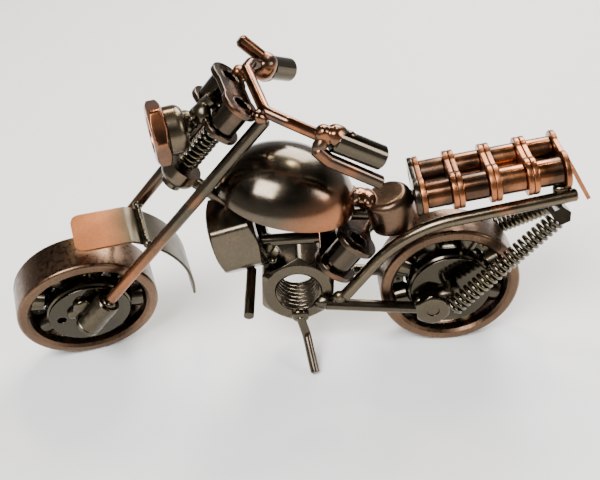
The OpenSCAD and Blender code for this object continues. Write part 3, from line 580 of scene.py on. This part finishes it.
def link_sheets(link):
    away = (link["inner"] + link["plate"]) / 2
    return joined([moved(link_sheet(link, link["bush"]), shift(0, 0, s * away)) for s in (-1, 1)])


def link_tubes(outer_d, inner_d, length, pitch, edge):
    tube = washer(inner_d / 2, outer_d / 2, -length / 2, length / 2, edge, 72)
    return joined([moved(tube, shift(s * pitch / 2, 0, 0)) for s in (-1, 1)])


def link_rollers(link):
    return link_tubes(link["roller"], link["bush"] + 0.1, link["inner"] - 0.1, link["pitch"], 0.45)


def link_bushes(link):
    return link_tubes(link["bush"], link["bore"], link["inner"] + 2 * link["plate"], link["pitch"], 0.2)


def chain_link(prefix, link, place, body, sheet_look, roller_look, slots, nodes):
    """One chain link: its two sheets, two rollers and two bushes."""
    names = ("sheets", "rollers", "bushes")
    shapes = (link_sheets(link), link_rollers(link), link_bushes(link))
    looks = (sheet_look, roller_look, roller_look)
    for name, shape, look, slot, node in zip(names, shapes, looks, slots, nodes):
        piece(prefix + "_" + name, shape, place, body, slot, look, [node])


def rack_place(i):
    slope = math.radians(RACK_SLOPE)
    step = LINK["inner"] + 2 * LINK["plate"] + RACK_GAP
    at = RACK_AT + i * step * vec(math.cos(slope), 0, math.sin(slope))
    return BIKE @ shift(*at) @ turn(90 - RACK_SLOPE, "Y") @ turn(90, "Z")


def rack():
    for i in range(RACK_LINKS):
        piece("rack_sheets_%d" % (i + 1), link_sheets(LINK), rack_place(i), "frame", "rack_copper",
              "rack", ["rack_plates_%d" % (i + 1)])
    steps = [rack_place(0).inverted() @ rack_place(i) for i in range(RACK_LINKS)]
    rollers = joined([moved(link_rollers(LINK), step) for step in steps])
    bushes = joined([moved(link_bushes(LINK), step) for step in steps])
    place = rack_place(0)
    piece("rack_roller_set", rollers, place, "frame", "rack_copper", "roller", ["rack_rollers"])
    piece("rack_bush_set", bushes, place, "frame", "rack_copper", "rack_dark", ["rack_bushes"])
    away = LINK["inner"] / 2 + 1.5 * LINK["plate"] + RACK_GAP
    piece("rack_outer_sheet", link_sheet(LINK, LINK["bore"]), place @ shift(0, 0, -away), "frame",
          "rack_dark", "rack_dark", ["rack_end_plate"])


LINK_SLOTS = ("cylinder_copper", "rack_dark", "rack_dark")


def cylinder():
    place = BIKE @ shift(*CYLINDER_AT) @ turn(90 - 53, "Y") @ turn(90, "Z")
    chain_link("cylinder", BIG_LINK, place, "frame", "link", "rack_dark", LINK_SLOTS,
               ("cylinder_plates", "cylinder_rollers", "cylinder_bushes"))


CLAMP_W = LINK["inner"] + 2 * LINK["plate"]
CLAMP_X, CLAMP_Z = -6.5, FORK_L - 0.8 - CLAMP_W / 2


def clamp():
    place = FORK @ shift(CLAMP_X, 0, CLAMP_Z) @ turn(90, "Z")
    chain_link("clamp", LINK, place, "fork", "link", "rack_dark", LINK_SLOTS,
               ("clamp_plates", "clamp_rollers", "clamp_bushes"))


def fork_legs():
    for s, side in ((-1, "left"), (1, "right")):
        path = straight((0, s * FORK_Y, -2), (0, s * FORK_Y, FORK_L), 1.5)
        piece("leg_" + side, sweep(path, FORK_D / 2, 32, 0.4, 0.012, s), FORK, "fork",
              "fork_copper", "leg_" + side, ["fork_leg_" + side])


def leg_lug():
    """A stub round a leg's foot, flat on the cover plate, with a turned ring at its lower end."""
    flat, r, pocket_r = FORK_Y - RACE_W / 2 - HUB_T, 4.3, 2.1
    foot = [(-3.2, pocket_r), (-3.2, r - 0.5), (-2.95, r - 0.15), (-2.4, r), (-1.7, r),
            (-1.4, r - 0.22), (-1.0, r - 0.22), (-0.7, r)]
    head = [(10.4, r - 0.1), (10.9, r - 0.5), (11.0, pocket_r)]
    rings = foot + [(z, r) for z in range(1, 10)] + head
    steps, points = 64, []
    for i in range(steps):
        a = 2 * math.pi * i / steps
        for z, radius in rings:
            lump = noise.noise(vec(math.cos(a), math.sin(a), z * 0.4) * 1.5)
            rough = 0.16 * lump if 1 <= z <= 10.5 else 0
            x, y = (radius + rough) * math.cos(a), (radius + rough) * math.sin(a)
            points.append((x, max(y, -flat), z))
    return points, grid_faces(steps, len(rings), wrap_rows=True, wrap_columns=True)


def hub_fittings():
    lugs = [moved(leg_lug(), shift(0, s * FORK_Y, 0) @ turn(90 - 90 * s, "Z")) for s in (-1, 1)]
    piece("front_leg_lugs", joined(lugs), FORK, "fork", "nut_dark", "weld", ["front_hub_lugs"])
    flats, plug = [], lathe([(0, -1.9), (2.1, -1.9), (2.1, 1.9), (0, 1.9)], 32, closed=False)
    for s in (-1, 1):
        at = (-6.5, s * (RACE_W / 2 + HUB_T + 2.3), -4.8)
        flats.append(moved(nut(11, 4.6, 2.0), shift(*at) @ turn(90, "X") @ turn(8, "Z")))
        flats.append(moved(plug, shift(*at) @ turn(90, "X")))
    piece("rear_lug_nuts", joined(flats), REAR, "frame", "nut_dark", "nut", ["rear_hub_lugs"])


def engine():
    place = BIKE @ shift(*ENGINE_AT) @ TO_AXLE @ turn(4, "Z")
    shape = nut(NUT_AF, NUT_T, THREAD_MINOR_D / 2, THREAD_D / 2)
    piece("engine_hex", shape, place, "frame", "nut_dark", "nut", ["engine_nut"], sharp=40)
    place = BIKE @ shift(*FRONT_NUT_AT) @ turn(90 - 14, "Y") @ turn(90 + 30 + 20, "Z")
    piece("front_hex", shape, place, "frame", "nut_dark", "nut", ["front_nut"], sharp=40)


def tank():
    """An open dome: an ellipsoid half with a wall TANK_T thick, its outer and inner faces joined along the rim."""
    rows, columns = 40, 128
    points = []
    for wall, order in ((0.0, range(rows)), (TANK_T, reversed(range(rows)))):
        for i in order:
            a = math.radians(90) * i / (rows - 1)
            for k in range(columns):
                b = 2 * math.pi * k / columns
                points.append(((TANK_L / 2 - wall) * math.sin(a) * math.cos(b),
                               (TANK_W / 2 - wall) * math.sin(a) * math.sin(b),
                               (TANK_H - wall) * math.cos(a)))
    place = BIKE @ shift(*TANK_AT) @ turn(TANK_PITCH, "Y")
    piece("tank_dome", (points, grid_faces(2 * rows, columns)), place, "frame", "tank_dark", "tank",
          ["tank_shell"], sharp=50)


SEAT_AXIS = vec(-math.sin(math.radians(SEAT_LEAN)), 0, math.cos(math.radians(SEAT_LEAN)))
SEAT_TOP = vec(40.65, 0, WHEEL_R + 35.6)


def seat():
    r = SEAT_D / 2
    profile = rounded([(0, 0), (r, 0), (r, SEAT_H), (0, SEAT_H)], 2.6, 8, closed=False)
    top = [q for q in profile if q[1] > 2 and q[0] > 0]
    profile = [(0, 0), (r - 0.5, 0), (r, 0.5)] + top + [(0, SEAT_H)]
    place = BIKE @ along(SEAT_TOP - SEAT_H * SEAT_AXIS, SEAT_AXIS)
    piece("seat_cup", lathe(profile, 96, closed=False), place, "frame", "seat_copper", "seat", ["seat_cap"])
    pitch, lean = math.radians(TANK_PITCH), math.radians(SEAT_LEAN)
    tank_end = TANK_AT + (TANK_L / 2 - 1.5) * vec(math.cos(pitch), 0, -math.sin(pitch))
    start = tank_end + vec(0, 0, 4.6)
    stop = SEAT_TOP - 1.2 * SEAT_AXIS - (r - 1) * vec(math.cos(lean), 0, math.sin(lean))
    piece("seat_neck_bar", sweep(straight(start, stop, 0.8), 2.5, 32, 0.3, 0.16, 4), BIKE, "frame",
          "seat_copper", "weld_copper", ["seat_neck"])


def rail_points(y):
    knee_turn, tail = math.radians(120.2), math.radians(10)
    reach = WHEEL_R + RAIL_GAP + BAR_D / 2
    knee = vec(WHEELBASE_HALF + reach * math.cos(knee_turn), y, WHEEL_R + reach * math.sin(knee_turn))
    end = knee + 53.3 * vec(math.cos(tail), 0, math.sin(tail))
    return [vec(RAIL_ROOT.x, y, RAIL_ROOT.z), knee, end]


def rails():
    for s, side in ((-1, "left"), (1, "right")):
        path = bent(rail_points(s * RAIL_Y), RAIL_BEND_R)
        path = straight(path[0], path[1])[:-1] + path[1:-1] + straight(path[-2], path[-1])[1:]
        piece("rail_bar_" + side, sweep(path, BAR_D / 2, 32, 0.5, 0.01, s), BIKE, "frame",
              "rail_olive", "rail", ["rail_" + side])


def springs():
    end = rail_points(0)[2]
    left, right = end + vec(-3.9, -11.5, -6.8), end + vec(1, 11.5, -17.4)
    outer_y = RACE_W / 2 + HUB_T
    left_y, right_y = -outer_y - 4.6 - SPRING_D / 2 - 0.12, outer_y + 2 + SPRING_D / 2 - 0.15
    feet = ((-1, "left", vec(WHEELBASE_HALF - 1.8, left_y, WHEEL_R - 1.7)),
            (1, "right", vec(WHEELBASE_HALF + 2.8, right_y, WHEEL_R + 3.6)))
    for s, side, foot in feet:
        reach = left.lerp(right, (s * 9.45 + 11.5) / 23) - foot
        length = reach.length - 1.85
        piece("spring_coil_" + side, coil(SPRING_D, SPRING_WIRE, length, SPRING_TURNS),
              BIKE @ along(foot, reach), "frame", "spring_steel", "spring", ["spring_" + side])
    foot_z = 64.8
    room = CLAMP_Z - CLAMP_W / 2 - foot_z - 0.02
    piece("steering_coil", coil(STEM_SPRING_D, STEM_WIRE, room, STEM_TURNS),
          FORK @ shift(-FORK_OFFSET, 0, foot_z), "fork", "spring_steel", "spring", ["steering_spring"])


BAR_Z = FORK_L + HANDLE_D / 2
BAR_LEFT = [vec(-1, -10, BAR_Z), vec(3.5, -15, BAR_Z + 2.6), vec(15.2, -21, BAR_Z + 6)]
BAR_RIGHT = [vec(-1, 10, BAR_Z), vec(2.2, 14.5, BAR_Z + 0.6), vec(10.6, 18, BAR_Z + 0.3)]
GRIP_LEFT = [vec(15.2, -21, BAR_Z + 6.9), vec(31.5, -24.6, BAR_Z + 9.7)]
GRIP_RIGHT = [vec(10.6, 18, BAR_Z + 0.3), vec(20.7, 22, BAR_Z + 1)]
LEVER_LEFT = [vec(12, -21.8, BAR_Z + 2), vec(17, -23.6, BAR_Z + 1.4), vec(35, -28, BAR_Z + 4)]
LEVER_RIGHT = [vec(7.4, 18.4, BAR_Z + 2), vec(-1.2, 22.5, BAR_Z + 2.2)]


def cockpit():
    path = bent([BAR_LEFT[2], BAR_LEFT[1], BAR_LEFT[0], BAR_RIGHT[0], BAR_RIGHT[1], BAR_RIGHT[2]], 3)
    piece("handle_bar", sweep(path, HANDLE_D / 2, 32, 0.3), FORK, "fork", "fork_copper", "handle", ["handlebar"])
    bars = [sweep(straight(*g, 1.0), GRIP_D / 2, 40, 0.5) for g in (GRIP_LEFT, GRIP_RIGHT)]
    piece("grip_pair", joined(bars), FORK, "fork", "grip_dark", "grip", ["grips"])
    left = sweep(bent(LEVER_LEFT, 3), LEVER_D / 2, 32, 0.4)
    right = sweep(straight(*LEVER_RIGHT, 1.0), LEVER_D / 2, 32, 0.9)
    piece("lever_pair", joined([left, right]), FORK, "fork", "fork_copper", "handle", ["levers"])


def headlamp():
    lamp = FORK @ shift(*LAMP_AT) @ turn(-42 - 90, "Y")
    piece("lamp_hex", nut(LAMP_AF, LAMP_T, LAMP_AF * 0.31), lamp @ shift(0, 0, -LAMP_T / 2) @ turn(21, "Z"),
          "fork", "lamp_copper", "lamp", ["headlamp_nut"], sharp=40)
    r = LAMP_BOWL_D / 2
    turns = [math.radians(a) for a in range(0, 91, 10)]
    arc = [(r - 3 + 3 * math.sin(a), 3 - 3 * math.cos(a)) for a in turns]
    profile = [(0, 0)] + arc + [(r, LAMP_BOWL_L - 0.3), (r - 0.3, LAMP_BOWL_L), (0, LAMP_BOWL_L)]
    piece("lamp_bowl", lathe(profile, 96, closed=False), lamp @ shift(0, 0, -LAMP_T - LAMP_BOWL_L),
          "fork", "rail_olive", "rail", ["headlamp_bowl"])
    start, stop = LAMP_AT + vec(7.4, 0, 6.6), vec(CLAMP_X - LINK["height"] / 2 + 2.2, 0, CLAMP_Z)
    piece("lamp_stay", sweep(straight(start, stop, 0.7), 2.5, 28, 0.3, 0.22, 9), FORK, "fork",
          "frame_dark", "weld", ["headlamp_stay"])


def fender():
    """A sheet bent round the wheel, with a flat front whose corners are rounded."""
    def point(a, lift):
        r = FENDER_R + lift
        return vec(r * math.cos(math.radians(a)), 0, r * math.sin(math.radians(a)))
    root = point(FENDER_FROM, 0)
    flat = math.radians(FENDER_FLAT_TURN)
    out, up = vec(-math.cos(flat), 0, -math.sin(flat)), vec(-math.sin(flat), 0, math.cos(flat))
    stations = []
    for k in range(25):
        x = FENDER_FLAT * (1 - k / 24)
        inset = 0.0
        if x > FENDER_FLAT - 3:
            inset = 3 - math.sqrt(max(0.0, 9 - (x - FENDER_FLAT + 3) ** 2))
        stations.append((root + out * x, up, FENDER_W / 2 - inset))
    for k in range(1, 49):
        a = FENDER_FROM + (FENDER_TO - FENDER_FROM) * k / 48
        stations.append((point(a, 0), point(a, 1) - point(a, 0), FENDER_W / 2))
    points = []
    for at, normal, half in stations:
        n = normal.normalized()
        soft = 0.3
        for y, h in ((-half, soft), (-half + soft, 0), (half - soft, 0), (half, soft), (half, FENDER_T - soft),
                     (half - soft, FENDER_T), (-half + soft, FENDER_T), (-half, FENDER_T - soft)):
            points.append(at + vec(0, y, 0) + n * h)
    n = len(stations)
    faces = grid_faces(n, 8) + [list(range(7, -1, -1)), [(n - 1) * 8 + k for k in range(8)]]
    piece("fender_sheet", (points, faces), FORK, "fork", "fender_plate", "fender", ["fender"])
    z = FENDER_R + FENDER_T + 1.03
    half = FORK_Y - FORK_D / 2 + 0.2
    wire = sweep(straight((-1.5, -half, z), (-1.5, half, z), 0.8), 1.0, 20, 0.2, 0.12, 3)
    piece("fender_cross_wire", wire, FORK, "fork", "fender_plate", "weld", ["fender_wire"])


def stand():
    r = STAND_D / 2
    lean = vec(0.16, -0.72, -0.68).normalized()
    root = ENGINE_AT + vec(0, -NUT_T / 2 - r + 0.2, -NUT_AF * 0.38)
    foot = vec(root.x + 4, -20, r * math.sqrt(1 - lean.z ** 2))
    knee = foot - (20 + root.y - 1.5) / abs(lean.y) * lean
    piece("kick_bar", sweep(bent([root, knee, foot], 5), r, 28, 0.3, 0.03, 6), BIKE, "frame",
          "frame_dark", "bar", ["kickstand"])


def plain_bars():
    """The short straight bars keep their CAD shape and get the bar finish."""
    looks = {"bar": ("down_tube", "backbone", "upper_bar", "tank_post", "swing_arm_left",
                     "swing_arm_right", "tail_bars", "tail_block", "foot_peg", "steering_stem"),
             "nut": ("head_cup", "front_axle", "rear_axle"), "rack": ("tail_plate",)}
    for look, nodes in looks.items():
        for name in nodes:
            node = NODES[name]
            node.data.materials.clear()
            node.data.materials.append(M[look])
            node.data.polygons.foreach_set("use_smooth", [True] * len(node.data.polygons))
            node.data.set_sharp_from_angle(angle=math.radians(32))


def welds():
    """Weld metal where the pieces meet: (name, body, slot, look, frame, beads), and each bead is
    (centre, half widths, seed)."""
    leg_foot = RACE_W / 2 + HUB_T
    rail_end = rail_points(0)[2]
    beads = [
        ("weld_hub_front", "fork", "nut_dark", "weld", FORK,
         [((-5.0, s * (leg_foot + 0.8), 3.5), (3.4, 1.7, 3.4), 1 + s) for s in (-1, 1)]
         + [((-5.4, s * (leg_foot + 0.6), -0.5), (2.8, 1.5, 2.6), 5 + s) for s in (-1, 1)]
         + [((-0.4, s * (FORK_Y + 0.4), 11.2), (2.7, 2.9, 1.3), 8 + s) for s in (-1, 1)]),
        ("weld_fender", "fork", "fender_plate", "weld", FORK,
         [((-1.2, s * (FORK_Y - 2.3), FENDER_R + 1.9), (1.7, 1.5, 1.5), 11 + s) for s in (-1, 1)]),
        ("weld_hub_rear", "frame", "nut_dark", "weld", REAR,
         [((-1.5, s * (leg_foot + 1.6), -1.5), (4.2, 1.9, 3.2), 21 + s) for s in (-1, 1)]
         + [((-10.5, s * (leg_foot + 1.5), -3.6), (2.6, 2.0, 2.8), 25 + s) for s in (-1, 1)]),
        ("weld_engine", "frame", "nut_dark", "weld", BIKE,
         [((19.6, s * 7.9, WHEEL_R - 1.4), (3.8, 2.4, 2.9), 31 + s) for s in (-1, 1)]
         + [((24.6, s * 9.0, WHEEL_R + 1.2), (2.6, 2.0, 2.5), 35 + s) for s in (-1, 1)]
         + [((11.0, -8.2, WHEEL_R - 6.6), (3.1, 1.8, 3.0), 39)]),
        ("weld_seat", "frame", "seat_copper", "weld_copper", BIKE,
         [((29.6, 0, WHEEL_R + 35.6), (3.2, 5.4, 2.2), 43),
          ((32.4, 0, WHEEL_R + 34.9), (3.6, 3.7, 2.5), 45),
          ((35.2, 0, WHEEL_R + 34.2), (2.8, 4.6, 2.6), 47)]),
        ("weld_headlamp", "fork", "frame_dark", "weld", FORK,
         [((-13.0, 0, 78.5), (3.2, 4.0, 3.4), 51), ((-11.6, -1.5, 84.5), (2.8, 3.4, 3.6), 53)]),
        ("weld_clamp", "fork", "fork_copper", "weld_copper", FORK,
         [((-1.6, s * (FORK_Y - 0.6), FORK_L - 0.2), (2.6, 2.6, 1.9), 61 + s) for s in (-1, 1)]),
        ("weld_grips", "fork", "fork_copper", "weld_copper", FORK,
         [(GRIP_LEFT[0] + vec(0.4, 0.1, 1.2), (3.9, 3.4, 3.4), 71),
          (GRIP_LEFT[0] + vec(-3.2, 1.2, -0.4), (2.8, 2.6, 2.6), 72),
          (GRIP_LEFT[0] + vec(3.6, -0.6, 3.4), (2.2, 1.6, 1.5), 73),
          (LEVER_LEFT[0] + vec(0.6, 0.2, 1.4), (2.3, 2.0, 2.9), 74),
          (GRIP_RIGHT[0] + vec(-1.6, -0.3, -0.4), (4.6, 4.3, 5.0), 75),
          (GRIP_RIGHT[0] + vec(0.2, 0.4, -1.2), (4.0, 3.9, 4.4), 76)]),
        ("weld_tail", "frame", "frame_dark", "weld", BIKE,
         [((rail_end.x - 4.5, s * 8.2, rail_end.z + 1.2), (2.6, 1.8, 1.6), 81 + s) for s in (-1, 1)]),
        ("weld_nuts", "frame", "nut_dark", "weld", BIKE,
         [((2.2, -3.5, WHEEL_R + 21.5), (2.4, 3.2, 3.4), 91),
          ((3.5, -2.0, WHEEL_R + 15.5), (3.0, 4.5, 2.0), 93)]),
    ]
    for name, body, slot, look, place, spots in beads:
        piece(name, molten([blob(*spot) for spot in spots]), place, body, slot, look, sharp=80)


# ---- stage ----
def stage():
    bpy.ops.mesh.primitive_plane_add(size=6)
    floor = bpy.context.object
    floor.name = "floor"
    material, tree, out = shader("floor")
    out.inputs["Base Color"].default_value = (0.86, 0.86, 0.855, 1)
    out.inputs["Roughness"].default_value = 0.7
    floor.data.materials.append(material)
    world = bpy.data.worlds.new("studio")
    bpy.context.scene.world = world
    world.use_nodes = True
    tree = world.node_tree
    where = linked(tree, "ShaderNodeTexCoord").outputs["Generated"]
    height = linked(tree, "ShaderNodeSeparateXYZ", {"Vector": where})
    sky = ramp(tree, height.outputs["Z"],
               [(0.0, (0.5, 0.5, 0.5)), (0.22, (0.4, 0.39, 0.37)), (0.5, (0.05, 0.048, 0.045))])
    tree.links.new(sky, tree.nodes["Background"].inputs["Color"])
    tree.nodes["Background"].inputs["Strength"].default_value = 1.0
    lights = (("key", (-0.3, -0.5, 0.85), 0.5, 20, (1, 1, 1)),
              ("back", (0.3, 0.75, 0.65), 0.5, 14, (1, 0.98, 0.95)),
              ("fill", (0.85, -0.2, 0.5), 0.35, 5, (1, 0.99, 0.97)),
              ("spark", (-0.08, 0.32, 0.5), 0.07, 0.9, (1, 0.9, 0.7)),
              ("spark_2", (0.16, 0.2, 0.55), 0.05, 0.6, (1, 0.9, 0.7)))
    for name, at, size, power, colour in lights:
        light = bpy.data.lights.new(name, "AREA")
        light.shape, light.size, light.energy, light.color = "SQUARE", size, power, colour
        lamp = bpy.data.objects.new(name, light)
        lamp.location = at
        lamp.rotation_euler = (vec(0, 0, 0.04) - Vector(at)).to_track_quat("-Z", "Y").to_euler()
        bpy.context.scene.collection.objects.link(lamp)


def camera():
    azimuth, elevation, roll, focal = math.radians(0.3), math.radians(36.65), math.radians(-3.97), 48.88
    flat = math.cos(elevation)
    back = vec(math.sin(azimuth) * flat, -math.cos(azimuth) * flat, math.sin(elevation))
    level = vec(math.cos(azimuth), math.sin(azimuth), 0)
    upright = back.cross(level)
    right = level * math.cos(roll) + upright * math.sin(roll)
    data = bpy.data.cameras.new("camera")
    data.lens, data.sensor_width = focal, 36.0
    eye = bpy.data.objects.new("camera", data)
    at = BIKE @ (vec(13.741, -215.401, 203.002) * MM)
    eye.matrix_world = from_axes(right, back.cross(right), back, at)
    data.clip_start, data.clip_end = 0.01, 20
    bpy.context.scene.collection.objects.link(eye)
    bpy.context.scene.camera = eye


camera()
wheel("front", FORK, "fork", "front_wheel", "front_balls")
wheel("rear", REAR, "frame", "rear_wheel", "rear_balls")
for build in (rack, cylinder, clamp, fork_legs, hub_fittings, engine, tank, seat, rails, springs, cockpit, headlamp,
              fender, stand, plain_bars, welds, stage):
    build()
